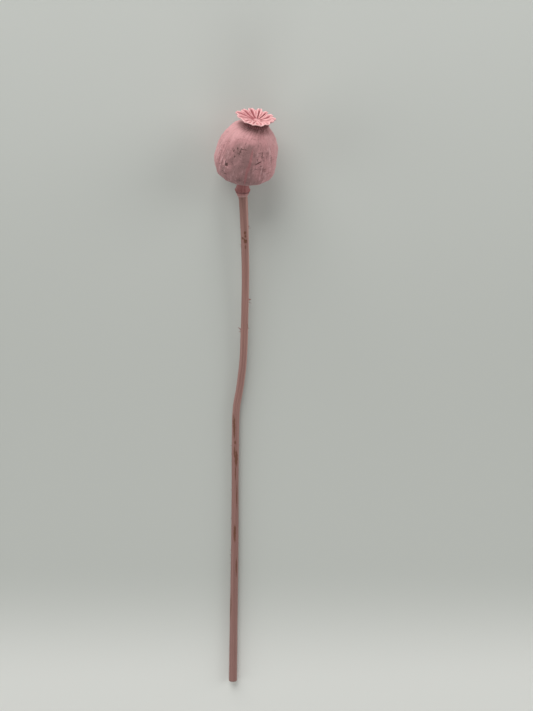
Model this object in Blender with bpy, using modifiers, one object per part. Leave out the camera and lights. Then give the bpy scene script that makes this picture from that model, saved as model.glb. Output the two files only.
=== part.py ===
"""A dried poppy seed head on its cut stem, lying on a table.

The row frame has +Z up and the table at z = 0. The stem runs along Y with the head towards +Y.
The origin is on the table, at the middle of the small flat spot that the capsule rests on.
The capsule and the crown are shaped in the head's own frame: its origin is the middle of the
capsule's base, and its +Z runs up the capsule's axis to the crown.
"""

import math

import bmesh
import bpy
from mathutils import Matrix, Vector, noise

MM = 0.001

# Driving dimensions, in millimetres and degrees.
CAPSULE_HEIGHT = 39.0
CAPSULE_RADIUS = 19.2
WIDEST_HEIGHT = 16.8
BELLY_OFFSET = 1.5
BELLY_SPREAD = 14
NECK_RADIUS = 7.8
STIPE_RADIUS = 3.5
CROWN_RADIUS = 12.2
CROWN_THICKNESS = 0.7
CLEFT_DEPTH = 1.8
CLEFT_VARIATION = 0.7
DEEPEST_CLEFT = 70.0
RAY_HEIGHT = 0.8
TIP_FADE = 0.6
JOINT_GAP = 0.3
STEM_RADIUS = 2.3
KNOB_RADIUS = 4.85
KNOB_LENGTH = 11.0
FLAT_CUT = 0.4
HEAD_PITCH = 18.0
HEAD_LEAN = 12.0
CROWN_LEAN = 1.0
CROWN_PITCH = 4.0
CROWN_SADDLE = 0.5
CROWN_SHIFT = 0.6
STEM_PITCH = 8.0
STEM_LEAN = -4.0

# The crown's rays, which the capsule's ribs lie under: the angle of each round the axis, how
# much longer it is than the crown's radius and how much its tip is raised.
RAY_ANGLES = (4, 39, 64, 84, 117, 152, 180, 207, 232, 259, 287, 314, 339)
RAY_LENGTHS = (-0.3, -0.7, -0.2, 0.7, -0.9, -1.5, 1.0, 0.5, -0.2, -0.7, -0.8, -0.9, -1.0)
RAY_LIFTS = (0.0, 0.2, 0.5, 0.8, 0.4, -0.2, -0.8, -0.8, -1.1, -0.7, -0.5, 0.0, 0.4)
RAYS = len(RAY_ANGLES)

# How many faces each turned or swept shape has around it and along each span of its outline.
CAPSULE_STEPS = 6 * RAYS
CROWN_STEPS = 8 * RAYS
SPAN_POINTS = 2
ROUTE_SPAN_POINTS = 4
STEM_SIDES = 16

# The capsule's outline as (radius, height), from the neck's flat top down to the stipe.
CAPSULE_OUTLINE = (
    (NECK_RADIUS, CAPSULE_HEIGHT),
    (NECK_RADIUS + 0.7, CAPSULE_HEIGHT - 0.7),
    (10.6, 37.1),
    (14.0, 33.7),
    (16.8, 28.6),
    (18.6, 23.0),
    (CAPSULE_RADIUS, WIDEST_HEIGHT),
    (19.2, 11.2),
    (17.6, 6.5),
    (14.3, 3.4),
    (8.8, 1.3),
    (STIPE_RADIUS, 0.0),
)

# The base slopes: it is higher on the side away from the belly. The slope reaches up to a
# height, and it spares the middle, where the stipe is.
BASE_SLOPE = 3.5
BASE_HEIGHT = 12.0
BASE_SPARED = (3.0, 9.0)

# How far the ribs stand out of the capsule, as (height on the capsule, rib height). A rib's
# width is a share of half its sector, and its level is the share of its height that is taken
# off all round, so that the ribs leave the capsule's mean radius as it is.
RIB_HEIGHTS = (
    (0.0, 0.1),
    (3.5, 0.4),
    (12.0, 0.5),
    (22.0, 0.25),
    (34.0, 0.2),
    (36.5, 0.5),
    (CAPSULE_HEIGHT, 0.6),
)
RIB_WIDTH = 0.38
RIB_LEVEL = 0.4
RIB_START_HEIGHT = 3.0
RIB_START_RADIUS = 4.0

# The dents and swellings of the dried wall: how far they go, how many, which pattern, and over
# how far from the base and from the neck they set in.
LUMP_HEIGHT = 0.7
LUMP_COUNT = 1.9
LUMP_PLACE = Vector((4.5, 3.0, 0.8))
LUMP_START = 9.0
LUMP_END = 10.0

# The crown's upper side as (radius, height above the neck's top), from its middle out to a tip.
CROWN_TOP = ((1.6, 3.0), (4.0, 2.7), (6.6, 3.3), (9.4, 4.3), (CROWN_RADIUS, 5.2))

# The crown's underside, from below a tip back to the joint with the neck.
CROWN_UNDERSIDE = ((10.7, 3.9), (9.4, 3.1), (8.4, 1.7), (NECK_RADIUS, 0.0))

# The clefts are deeper by a share CLEFT_VARIATION at the angle DEEPEST_CLEFT and shallower by as
# much on the other side. A cleft starts at CLEFT_START, as a share of half the ray, and it cuts
# the disc from PARTING_RADIUS out. The underside rises by CLEFT_RISE at a cleft.
# The rays' ridges rise from the middle over RIDGE_START and lose the share TIP_FADE of their
# height towards the tips. The groove along a ray takes a share of the ray's height, and its
# width is a share of half the ray.
CLEFT_START = 0.3
PARTING_RADIUS = 6.2
RIDGE_START = (0.8, 3.4)
RAY_GROOVE = 0.35
RAY_GROOVE_WIDTH = 0.22
CLEFT_RISE = 0.5
CLEFT_RISE_SPAN = 2.0

# How far from its middle layer the crown counts as upper side or underside, and the heights
# over which its tilt and its lifted rays set in above the flat joint.
SIDE_BLEND = (0.2, 0.8)
LIFT_START = (0.3, 2.5)

# The receptacle's outline as (share of its length down from the capsule, radius).
KNOB_OUTLINE = (
    (0.00, 3.2),
    (0.14, 3.2),
    (0.24, 3.4),
    (0.37, 3.8),
    (0.49, 4.2),
    (0.59, KNOB_RADIUS),
    (0.66, 4.7),
    (0.74, 4.25),
    (0.86, 3.6),
    (1.00, 3.0),
)
KNOB_SCALLOPS = 9
KNOB_SCALLOP_DEPTH = 0.05

# The stem's route from the receptacle's end to the cut end, as (sideways offset from the
# receptacle's end, distance from it along the table, height of the underside, radius).
STEM_ROUTE = (
    (0.4, 5.0, 7.6, 2.75),
    (1.1, 27.0, 5.9, 2.5),
    (1.4, 55.0, 4.2, STEM_RADIUS),
    (0.7, 85.0, 2.7, STEM_RADIUS),
    (-0.3, 108.0, 1.7, STEM_RADIUS),
    (-2.4, 126.0, 1.1, STEM_RADIUS),
    (-4.8, 141.0, 0.7, STEM_RADIUS),
    (-5.4, 160.0, 0.4, STEM_RADIUS),
    (-5.8, 195.0, 0.1, STEM_RADIUS),
    (-6.3, 240.0, -0.1, 2.5),
    (-7.2, 285.0, -0.1, 2.6),
    (-8.0, 333.0, -0.1, 2.7),
)

PINK_PAINT = (0.56, 0.27, 0.27, 1.0)
LIT_PINK_PAINT = (0.66, 0.32, 0.33, 1.0)
DULL_PINK_PAINT = (0.42, 0.21, 0.19, 1.0)


def clear_scene():
    for obj in list(bpy.data.objects):
        bpy.data.objects.remove(obj, do_unlink=True)


def spline_through(points, per_span):
    """Points on a smooth Catmull-Rom curve through the given ones, ends included."""
    given = [Vector(p) for p in points]
    padded = [2 * given[0] - given[1], *given, 2 * given[-1] - given[-2]]
    curve = []
    for before, start, end, after in zip(padded, padded[1:], padded[2:], padded[3:]):
        for k in range(per_span):
            t = k / per_span
            curve.append(
                0.5
                * (
                    2 * start
                    + (end - before) * t
                    + (2 * before - 5 * start + 4 * end - after) * t * t
                    + (3 * start - before - 3 * end + after) * t**3
                )
            )
    return [*curve, given[-1]]


def interpolate(table, x):
    """The value at x in a table of (x, value) rows, in straight lines between them."""
    for (x0, y0), (x1, y1) in zip(table, table[1:]):
        if x <= x1:
            return y0 + (y1 - y0) * max(0.0, x - x0) / (x1 - x0)
    return table[-1][1]


def smooth_step(low, high, x):
    t = min(1.0, max(0.0, (x - low) / (high - low)))
    return t * t * (3 - 2 * t)


def cleft_angles():
    """The angles of the clefts, each midway between two rays, from before the first ray on."""
    angles = [RAY_ANGLES[-1] - 360, *RAY_ANGLES, RAY_ANGLES[0] + 360]
    return [math.radians(a + b) / 2 for a, b in zip(angles, angles[1:])]


CLEFTS = cleft_angles()


def along_rim(values, angle):
    """The value at an angle round the rim, in straight lines between the rays' own values."""
    rays = [(math.radians(a), value) for a, value in zip(RAY_ANGLES, values)]
    before, after = rays[-1], rays[0]
    turn = 2 * math.pi
    table = [(before[0] - turn, before[1]), *rays, (after[0] + turn, after[1])]
    return interpolate(table, angle % turn)


def on_ray(turned_angle):
    """For an even angle round the axis: how far across its ray it is, from -1 to 1, and the
    angle it moves to so that the clefts lie where the layout says."""
    share = (turned_angle / (2 * math.pi) * RAYS) % RAYS
    ray = min(RAYS - 1, int(share + 1e-6))
    within = share - ray
    angle = CLEFTS[ray] + within * (CLEFTS[ray + 1] - CLEFTS[ray])
    return 2 * within - 1, angle


def turned(name, outline, steps):
    """An object turned round Z from an outline that runs down its outer side, axis to axis."""
    mesh = bpy.data.meshes.new(name)
    points = [(radius * MM, 0, height * MM) for radius, height in outline]
    mesh.from_pydata(points, [(i, i + 1) for i in range(len(points) - 1)], [])
    profile = bpy.data.objects.new(name + "_profile", mesh)
    bpy.context.scene.collection.objects.link(profile)
    screw = profile.modifiers.new("Turn", "SCREW")
    screw.steps = steps
    screw.render_steps = steps
    screw.use_merge_vertices = True
    screw.merge_threshold = 1e-5
    bpy.context.view_layer.update()
    graph = bpy.context.evaluated_depsgraph_get()
    solid = bpy.data.meshes.new_from_object(profile.evaluated_get(graph))
    solid.name = name
    bpy.data.objects.remove(profile)
    bpy.data.meshes.remove(mesh)
    return bpy.data.objects.new(name, solid)


def reshape(obj, move):
    """Moves each vertex to move(point), with points in millimetres."""
    for vertex in obj.data.vertices:
        vertex.co = move(vertex.co / MM) * MM


def outline_radius(height):
    """The capsule's radius at a height, before its ribs and lumps."""
    return interpolate([(h, r) for r, h in reversed(CAPSULE_OUTLINE)], height)


def belly_shift(height):
    """How far the capsule swells to one side of the line from its stipe to its neck."""
    return -BELLY_OFFSET * (1 - (2 * height / CAPSULE_HEIGHT - 1) ** BELLY_SPREAD)


def capsule_point(p):
    """A turned point of the capsule with its ribs, its lumps and its one-sided belly."""
    radius = math.hypot(p.x, p.y)
    if radius < 0.01:
        return p
    across, angle = on_ray(math.atan2(p.y, p.x) % (2 * math.pi))
    height = p.z
    rib = math.exp(-((across / RIB_WIDTH) ** 2)) - RIB_LEVEL
    ends = smooth_step(0, RIB_START_HEIGHT, height) * smooth_step(0, RIB_START_RADIUS, radius)
    around = Vector((math.cos(angle), math.sin(angle), height / CAPSULE_RADIUS))
    lump = noise.noise(around * LUMP_COUNT + LUMP_PLACE)
    belly = smooth_step(0, LUMP_START, height) * smooth_step(0, LUMP_END, CAPSULE_HEIGHT - height)
    share = radius / outline_radius(height)
    radius += share * ends * rib * interpolate(RIB_HEIGHTS, height)
    radius += share * belly * LUMP_HEIGHT * lump
    x, y = radius * math.cos(angle), radius * math.sin(angle)
    near_base = smooth_step(0, BASE_HEIGHT, BASE_HEIGHT - height)
    rise = x * math.tan(math.radians(BASE_SLOPE)) * near_base * smooth_step(*BASE_SPARED, radius)
    return Vector((x + belly_shift(height), y, height + rise))


def crown_point(p):
    """A turned point of the crown, with its clefts, ridged rays and lifted tips."""
    radius = math.hypot(p.x, p.y)
    if radius < 0.01:
        return p
    across, angle = on_ray(math.atan2(p.y, p.x) % (2 * math.pi))
    above_middle = p.z - crown_middle_height(radius)
    on_top = smooth_step(*SIDE_BLEND, above_middle)
    below = smooth_step(*SIDE_BLEND, -above_middle)
    outwards = smooth_step(PARTING_RADIUS, CROWN_RADIUS, radius)
    cleft = smooth_step(CLEFT_START, 1, abs(across))
    groove = 1 - RAY_GROOVE * math.exp(-((across / RAY_GROOVE_WIDTH) ** 2))
    ridge = groove * max(0.0, 1 - across * across) ** 0.7
    ends = smooth_step(*RIDGE_START, radius) * (1 - TIP_FADE * outwards)
    height = p.z + on_top * RAY_HEIGHT * ridge * ends
    past_neck = smooth_step(NECK_RADIUS, NECK_RADIUS + CLEFT_RISE_SPAN, radius)
    height += below * CLEFT_RISE * cleft * past_neck
    off_deepest = angle - math.radians(DEEPEST_CLEFT)
    cleft_depth = CLEFT_DEPTH * (1 + CLEFT_VARIATION * math.cos(off_deepest))
    radius += outwards * (along_rim(RAY_LENGTHS, angle) - cleft_depth * cleft)
    radius -= outwards * CROWN_SHIFT * math.cos(angle)
    x, y = radius * math.cos(angle), radius * math.sin(angle)
    lift = outwards * (along_rim(RAY_LIFTS, angle) + CROWN_SADDLE * math.cos(2 * angle))
    lift -= x * math.tan(math.radians(CROWN_LEAN)) + y * math.tan(math.radians(CROWN_PITCH))
    return Vector((x, y, height + lift * smooth_step(*LIFT_START, p.z)))


def crown_middle_height(radius):
    """The height halfway between the crown's upper side and its underside."""
    top = interpolate(CROWN_TOP, radius)
    under = interpolate(CROWN_UNDERSIDE[::-1], radius)
    return (top + min(under, top - CROWN_THICKNESS)) / 2


def rest_on_table(obj):
    """Cuts off what would be below the table, which leaves a small flat spot."""
    to_own = obj.matrix_world.inverted()
    bm = bmesh.new()
    bm.from_mesh(obj.data)
    cut = bmesh.ops.bisect_plane(
        bm,
        geom=[*bm.verts, *bm.edges, *bm.faces],
        dist=1e-6,
        plane_co=to_own @ Vector((0, 0, 0)),
        plane_no=to_own.to_3x3() @ Vector((0, 0, -1)),
        clear_outer=True,
    )
    rim = [e for e in cut["geom_cut"] if isinstance(e, bmesh.types.BMEdge)]
    bmesh.ops.edgeloop_fill(bm, edges=rim)
    bmesh.ops.recalc_face_normals(bm, faces=bm.faces)
    bm.to_mesh(obj.data)
    bm.free()


def head_placement():
    """The matrix from the head's own frame to the row frame."""
    turn = (
        Matrix.Rotation(math.radians(-HEAD_LEAN), 4, "Z")
        @ Matrix.Rotation(math.radians(HEAD_PITCH), 4, "X")
        @ Matrix.Rotation(math.radians(-90), 4, "X")
    )
    belly = turn @ Vector((belly_shift(WIDEST_HEIGHT) * MM, 0, WIDEST_HEIGHT * MM))
    lift = Vector((0, 0, (CAPSULE_RADIUS - FLAT_CUT) * MM))
    return Matrix.Translation(lift - belly) @ turn


def make_capsule(placement):
    sides = [tuple(p) for p in spline_through(CAPSULE_OUTLINE, SPAN_POINTS)]
    outline = [(0, CAPSULE_HEIGHT), *sides, (0, 0)]
    capsule = turned("seed_capsule", outline, CAPSULE_STEPS)
    reshape(capsule, capsule_point)
    capsule.matrix_world = placement
    return capsule


def make_crown(placement):
    top = [tuple(p) for p in spline_through(CROWN_TOP, SPAN_POINTS)]
    tip = (CROWN_RADIUS + 0.1, CROWN_TOP[-1][1] - CROWN_THICKNESS / 2)
    under_tip = (CROWN_RADIUS - 0.2, CROWN_TOP[-1][1] - CROWN_THICKNESS)
    outline = [(0, top[0][1]), *top, tip, under_tip, *CROWN_UNDERSIDE, (0, 0)]
    crown = turned("stigma_crown", outline, CROWN_STEPS)
    reshape(crown, crown_point)
    joint = Matrix.Translation((0, 0, (CAPSULE_HEIGHT + JOINT_GAP) * MM))
    crown.matrix_world = placement @ joint
    return crown


def axis_direction(pitch, lean):
    """The direction, up along the plant, of an axis with this pitch and lean in degrees."""
    pitch, lean = math.radians(pitch), math.radians(lean)
    level = math.cos(pitch)
    return Vector((level * math.sin(lean), level * math.cos(lean), math.sin(pitch)))


def knob_points(placement):
    """The receptacle's middle line with its radius, from the capsule's base to the stem. It
    starts along the head's axis and bends evenly into the stem's own direction."""
    middle = placement @ Vector((0, 0, -JOINT_GAP * MM)) / MM
    points = []
    last_share = 0
    for share, radius in KNOB_OUTLINE:
        pitch = HEAD_PITCH + (STEM_PITCH - HEAD_PITCH) * share
        lean = HEAD_LEAN + (STEM_LEAN - HEAD_LEAN) * share
        middle = middle - axis_direction(pitch, lean) * (share - last_share) * KNOB_LENGTH
        points.append((*middle, radius))
        last_share = share
    return points


def stem_points(placement):
    """The stem's middle line with its radius, as (x, y, z, radius), from capsule to cut end."""
    knob = knob_points(placement)
    x, y, _, _ = knob[-1]
    run = [
        (x + side, y - along, underside + radius, radius)
        for side, along, underside, radius in STEM_ROUTE
    ]
    below_knob = spline_through([knob[-2], knob[-1], *run], ROUTE_SPAN_POINTS)
    return [*knob[:-1], *(tuple(p) for p in below_knob[ROUTE_SPAN_POINTS:])]


def knob_scallop(p, knob):
    """Moves a point of the stem in or out where it lies on the receptacle's rim."""
    *middle, _ = min(knob, key=lambda point: (Vector(point[:3]) - p).length)
    top, end = Vector(knob[0][:3]), Vector(knob[-1][:3])
    axis = (top - end).normalized()
    depth = (top - p).dot(axis) / (top - end).length
    if not 0 < depth < 1:
        return p
    outwards = p - Vector(middle)
    outwards -= axis * outwards.dot(axis)
    side = axis.orthogonal().normalized()
    angle = math.atan2(outwards.dot(axis.cross(side)), outwards.dot(side))
    rim = math.sin(math.pi * depth) ** 2
    return p + outwards * KNOB_SCALLOP_DEPTH * rim * math.cos(KNOB_SCALLOPS * angle)


def make_stem(placement):
    points = stem_points(placement)
    curve = bpy.data.curves.new("stem", "CURVE")
    curve.dimensions = "3D"
    curve.bevel_depth = MM
    curve.bevel_resolution = STEM_SIDES // 2 - 2
    curve.use_fill_caps = True
    spline = curve.splines.new("POLY")
    spline.points.add(len(points) - 1)
    for point, (x, y, z, radius) in zip(spline.points, points):
        point.co = (x * MM, y * MM, z * MM, 1)
        point.radius = radius
    route = bpy.data.objects.new("stem_route", curve)
    bpy.context.scene.collection.objects.link(route)
    bpy.context.view_layer.update()
    graph = bpy.context.evaluated_depsgraph_get()
    mesh = bpy.data.meshes.new_from_object(route.evaluated_get(graph))
    bpy.data.objects.remove(route)
    bm = bmesh.new()
    bm.from_mesh(mesh)
    bmesh.ops.remove_doubles(bm, verts=bm.verts, dist=1e-6)
    bm.to_mesh(mesh)
    bm.free()
    stem = bpy.data.objects.new("stem", mesh)
    knob = knob_points(placement)
    reshape(stem, lambda p: knob_scallop(p, knob))
    return stem


def paint(obj, name, colour, roughness):
    material = bpy.data.materials.new(name)
    material.use_nodes = True
    surface = material.node_tree.nodes["Principled BSDF"]
    surface.inputs["Base Color"].default_value = colour
    surface.inputs["Roughness"].default_value = roughness
    surface.inputs["Metallic"].default_value = 0.0
    obj.data.materials.clear()
    obj.data.materials.append(material)


def main():
    clear_scene()
    poppy = bpy.data.collections.new("poppy_seed_head")
    bpy.context.scene.collection.children.link(poppy)
    placement = head_placement()
    capsule = make_capsule(placement)
    crown = make_crown(placement)
    stem = make_stem(placement)
    for obj in (capsule, crown, stem):
        poppy.objects.link(obj)
    bpy.context.view_layer.update()
    for obj in (capsule, stem):
        rest_on_table(obj)
    for obj in (capsule, crown, stem):
        obj.data.shade_smooth()
        obj.data.set_sharp_from_angle(angle=math.radians(50))
    paint(capsule, "capsule_paint", PINK_PAINT, 0.85)
    paint(crown, "crown_paint", LIT_PINK_PAINT, 0.85)
    paint(stem, "stem_paint", DULL_PINK_PAINT, 0.8)


main()
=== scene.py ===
import random
from math import atan, cos, pi, radians, sin, tan

import bmesh
import bpy
import numpy as np
from mathutils import Matrix, Vector, noise


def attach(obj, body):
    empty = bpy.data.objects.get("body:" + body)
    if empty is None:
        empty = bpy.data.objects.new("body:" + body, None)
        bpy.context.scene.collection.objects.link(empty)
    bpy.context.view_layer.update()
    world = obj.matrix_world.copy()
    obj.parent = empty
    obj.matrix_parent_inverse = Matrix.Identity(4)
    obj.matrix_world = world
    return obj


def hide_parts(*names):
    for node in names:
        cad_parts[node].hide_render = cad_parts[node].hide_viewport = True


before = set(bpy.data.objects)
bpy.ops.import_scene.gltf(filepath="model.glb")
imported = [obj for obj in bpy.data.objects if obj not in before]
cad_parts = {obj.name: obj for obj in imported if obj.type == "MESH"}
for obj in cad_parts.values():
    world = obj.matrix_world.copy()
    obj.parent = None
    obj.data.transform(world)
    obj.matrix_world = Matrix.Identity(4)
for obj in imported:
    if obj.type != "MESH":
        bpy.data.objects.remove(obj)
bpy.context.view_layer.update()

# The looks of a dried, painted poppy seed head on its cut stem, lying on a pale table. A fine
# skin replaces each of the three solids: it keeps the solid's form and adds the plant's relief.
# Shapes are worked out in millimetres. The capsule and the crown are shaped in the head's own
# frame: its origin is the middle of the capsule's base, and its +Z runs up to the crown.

MM = 0.001

# The head's driving dimensions, in millimetres and degrees.
CAPSULE_HEIGHT = 39.0
CAPSULE_RADIUS = 19.2
WIDEST_HEIGHT = 16.8
BELLY_OFFSET = 1.5
BELLY_SPREAD = 14
NECK_RADIUS = 7.8
STIPE_RADIUS = 3.5
CROWN_RADIUS = 12.2
CROWN_THICKNESS = 0.7
CLEFT_DEPTH = 1.8
CLEFT_VARIATION = 0.7
DEEPEST_CLEFT = 70.0
RAY_HEIGHT = 0.8
TIP_FADE = 0.6
JOINT_GAP = 0.3
STEM_RADIUS = 2.3
KNOB_RADIUS = 4.85
KNOB_LENGTH = 11.0
FLAT_CUT = 0.4
HEAD_PITCH = 18.0
HEAD_LEAN = 12.0
CROWN_LEAN = 1.0
CROWN_PITCH = 4.0
CROWN_SADDLE = 0.5
CROWN_SHIFT = 0.6
STEM_PITCH = 8.0
STEM_LEAN = -4.0

# The crown's rays, which the capsule's ribs lie under: the angle of each round the axis, how
# much longer it is than the crown's radius and how much its tip is raised.
RAY_ANGLES = (4, 39, 64, 84, 117, 152, 180, 207, 232, 259, 287, 314, 339)
RAY_LENGTHS = (-0.3, -0.7, -0.2, 0.7, -0.9, -1.5, 1.0, 0.5, -0.2, -0.7, -0.8, -0.9, -1.0)
RAY_LIFTS = (0.0, 0.2, 0.5, 0.8, 0.4, -0.2, -0.8, -0.8, -1.1, -0.7, -0.5, 0.0, 0.4)
RAYS = len(RAY_ANGLES)

# The capsule's outline as (radius, height), from the neck's top down to the stipe. Its skin and
# the stem's run on upwards by JOINT_GAP, and so close the gaps between the solids.
CAPSULE_OUTLINE = (
    (NECK_RADIUS, CAPSULE_HEIGHT),
    (NECK_RADIUS + 0.7, CAPSULE_HEIGHT - 0.7),
    (10.6, 37.1),
    (14.0, 33.7),
    (16.8, 28.6),
    (18.6, 23.0),
    (CAPSULE_RADIUS, WIDEST_HEIGHT),
    (19.2, 11.2),
    (17.6, 6.5),
    (14.3, 3.4),
    (8.8, 1.3),
    (STIPE_RADIUS, 0.0),
)

# The base slopes: it is higher on the side away from the belly, up to a height and outside the
# middle, where the stipe is.
BASE_SLOPE = 3.5
BASE_HEIGHT = 12.0
BASE_SPARED = (3.0, 9.0)

# The ribs, as (height on the capsule, rib height). A rib's width is a share of half its sector,
# and its level is the share of its height that is taken off all round.
RIB_HEIGHTS = (
    (0.0, 0.1),
    (3.5, 0.4),
    (12.0, 0.5),
    (22.0, 0.25),
    (34.0, 0.2),
    (36.5, 0.5),
    (CAPSULE_HEIGHT, 0.6),
)
RIB_WIDTH = 0.38
RIB_LEVEL = 0.4
RIB_START_HEIGHT = 3.0
RIB_START_RADIUS = 4.0

# The wall's dents and swellings: their height, number and pattern, and how far from the base
# and from the neck they set in.
LUMP_HEIGHT = 0.7
LUMP_COUNT = 1.9
LUMP_PLACE = Vector((4.5, 3.0, 0.8))
LUMP_START = 9.0
LUMP_END = 10.0

# The crown's upper side as (radius, height above its joint) from the middle out to a tip, the
# tip's edge as (distance past the crown's radius, share of its thickness down), and the
# underside from there back to the joint.
CROWN_MIDDLE = 3.3
CROWN_INNER_RADIUS = 0.15
CROWN_TOP = ((1.6, 3.0), (4.0, 2.7), (6.6, 3.3), (9.4, 4.3), (CROWN_RADIUS, 5.2))
CROWN_EDGE = ((0.1, 0.2), (0.02, 0.5), (-0.35, 0.85))
CROWN_UNDERSIDE = ((10.7, 3.9), (9.4, 3.1), (8.4, 1.7), (NECK_RADIUS, 0.0))

# A cleft starts at a share of half the ray and cuts the disc from PARTING_RADIUS out. The rays'
# ridges rise over RIDGE_START, and a groove takes a share of their height over a share of half
# the ray. The crown's tilt and its lifted rays set in over the heights LIFT_START.
CLEFT_START = 0.3
PARTING_RADIUS = 6.2
RIDGE_START = (0.8, 3.4)
RIDGE_ROUNDING = 0.7
RAY_GROOVE = 0.35
RAY_GROOVE_WIDTH = 0.22
LIFT_START = (0.3, 2.5)

# The receptacle's outline as (share of its length down from the capsule, radius).
KNOB_OUTLINE = (
    (0.0, 3.2),
    (0.14, 3.2),
    (0.24, 3.4),
    (0.37, 3.8),
    (0.49, 4.2),
    (0.59, KNOB_RADIUS),
    (0.66, 4.7),
    (0.74, 4.25),
    (0.86, 3.6),
    (1.00, 3.0),
)
KNOB_SCALLOPS = 9
KNOB_SCALLOP_DEPTH = 0.05

# The stem's route from the receptacle's end to the cut end, as (sideways offset from the
# receptacle's end, distance from it along the table, height of the underside, radius).
STEM_ROUTE = (
    (0.4, 5.0, 7.6, 2.75),
    (1.1, 27.0, 5.9, 2.5),
    (1.4, 55.0, 4.2, STEM_RADIUS),
    (0.7, 85.0, 2.7, STEM_RADIUS),
    (-0.3, 108.0, 1.7, STEM_RADIUS),
    (-2.4, 126.0, 1.1, STEM_RADIUS),
    (-4.8, 141.0, 0.7, STEM_RADIUS),
    (-5.4, 160.0, 0.4, STEM_RADIUS),
    (-5.8, 195.0, 0.1, STEM_RADIUS),
    (-6.3, 240.0, -0.1, 2.5),
    (-7.2, 285.0, -0.1, 2.6),
    (-8.0, 333.0, -0.1, 2.7),
)

# How far the capsule's relief is set back, so that its highest points lie on the solid, and how
# far the receptacle's skin reaches into the capsule.
SKIN_INSET = 0.12
JOINT_OVERLAP = 0.15

# How fine the skins are, and the points that round an outline between two of its own.
CAPSULE_COLUMNS = 32 * RAYS
CAPSULE_ROWS = 190
CAPSULE_SPAN_POINTS = 16
CROWN_COLUMNS = 28 * RAYS
CROWN_TOP_ROWS = 62
CROWN_TOP_SPAN_POINTS = 12
CROWN_UNDER_ROWS = 34
CROWN_UNDER_SPAN_POINTS = 8
STEM_COLUMNS = 44
STEM_STEP = 0.32
STEM_SPAN_POINTS = 24

# The camera looks down on the stem, tilted towards the head's end, so that the photograph's
# frame of 533 by 711 pixels spans the whole plant.
PHOTO_HEIGHT = 711
FOCAL_PIXELS = 1854.5
CAMERA_TILT = 15.0
CAMERA_DISTANCE = 1.2
CAMERA_TARGET = Vector((0.0123, -0.1329, 0.0))


# Shape helpers


def spline_through(points, per_span):
    """Points on a smooth Catmull-Rom curve through the given ones, ends included."""
    given = [np.array(p, float) for p in points]
    padded = [2 * given[0] - given[1], *given, 2 * given[-1] - given[-2]]
    curve = []
    for before, start, end, after in zip(padded, padded[1:], padded[2:], padded[3:]):
        for k in range(per_span):
            t = k / per_span
            straight = 2 * start + (end - before) * t
            bend = (2 * before - 5 * start + 4 * end - after) * t * t
            twist = (3 * start - before - 3 * end + after) * t**3
            curve.append(0.5 * (straight + bend + twist))
    return np.array([*curve, given[-1]])


def evenly(curve, count):
    """The same line with this many points, evenly spaced along it."""
    steps = np.linalg.norm(np.diff(curve[:, :3], axis=0), axis=1)
    along = np.concatenate(([0], np.cumsum(steps)))
    wanted = np.linspace(0, along[-1], count)
    return np.array([np.interp(wanted, along, column) for column in curve.T]).T


def ramp(low, high, x):
    """0 where x is at low, and 1 where it is at high, with a smooth change between them."""
    t = np.clip((x - low) / (high - low), 0, 1)
    return t * t * (3 - 2 * t)


def bump(x, width):
    """1 where x is 0, falling smoothly to 0 within about twice the width on both sides."""
    return np.exp(-((x / width) ** 2))


def raised_line(x, line):
    """The relief at x of one long line or ring, given as (place, width, height)."""
    place, width, height = line
    return bump(x - place, width) * height


def noise_over(places, octaves=1):
    """Smooth noise, about -1 to 1, at each of an array of places."""
    flat = places.reshape(-1, 3)
    if octaves == 1:
        values = [noise.noise(p) for p in flat]
    else:
        values = [noise.fractal(p, 0.9, 2.1, octaves) for p in flat]
    return np.array(values).reshape(places.shape[:-1])


def place_on(angle, height, count, stretch):
    """Noise places on a round surface: count sets the detail around it and stretch along it."""
    x = np.cos(angle) * count
    y = np.sin(angle) * count
    return np.stack(np.broadcast_arrays(x, y, height * stretch), axis=-1)


def noise_layer(angle, height, layer):
    """Noise on a round surface, as one of the layers of relief that are listed further down."""
    around, along, shift, octaves, size = layer
    return noise_over(place_on(angle, height, around, along) + shift, octaves) * size


def angle_from(angle, degrees):
    """How far an angle is from the one given in degrees, from minus half a turn to half a turn."""
    return (angle - radians(degrees) + pi) % (2 * pi) - pi


def linked(name, data):
    """A new object with this data, in the scene."""
    made = bpy.data.objects.new(name, data)
    bpy.context.scene.collection.objects.link(made)
    return made


def skin(name, rings, first, last, traits):
    """A closed mesh piece from rings of points, in metres, with a point at each end. Traits are
    arrays with one value, or one vector, for each point of the rings."""
    rows, columns = rings.shape[:2]
    points = [*rings.reshape(-1, 3), first, last]
    faces = []
    for i in range(rows - 1):
        for j in range(columns):
            k = (j + 1) % columns
            here, next_ring = i * columns, (i + 1) * columns
            faces.append((here + j, here + k, next_ring + k, next_ring + j))
    end = (rows - 1) * columns
    for j in range(columns):
        k = (j + 1) % columns
        faces.append((rows * columns, k, j))
        faces.append((rows * columns + 1, end + j, end + k))
    mesh = bpy.data.meshes.new(name)
    mesh.from_pydata([tuple(p) for p in points], [], faces)
    for trait, values in traits.items():
        vector = values.ndim == 3
        values = np.broadcast_to(values, (rows, columns, *values.shape[2:]))
        flat = values.reshape(rows * columns, -1)
        flat = np.concatenate([flat, flat[:1], flat[-1:]]).astype(np.float32)
        layer = mesh.attributes.new(trait, "FLOAT_VECTOR" if vector else "FLOAT", "POINT")
        layer.data.foreach_set("vector" if vector else "value", flat.ravel())
    bm = bmesh.new()
    bm.from_mesh(mesh)
    bmesh.ops.recalc_face_normals(bm, faces=bm.faces)
    bm.to_mesh(mesh)
    bm.free()
    mesh.shade_smooth()
    return linked(name, mesh)


def above_table(points):
    """The same points with none below the table, which makes the small flat resting spot."""
    lifted = points.copy()
    lifted[..., 2] = np.maximum(lifted[..., 2], 0)
    return lifted


# The head's own frame and its rays


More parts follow.
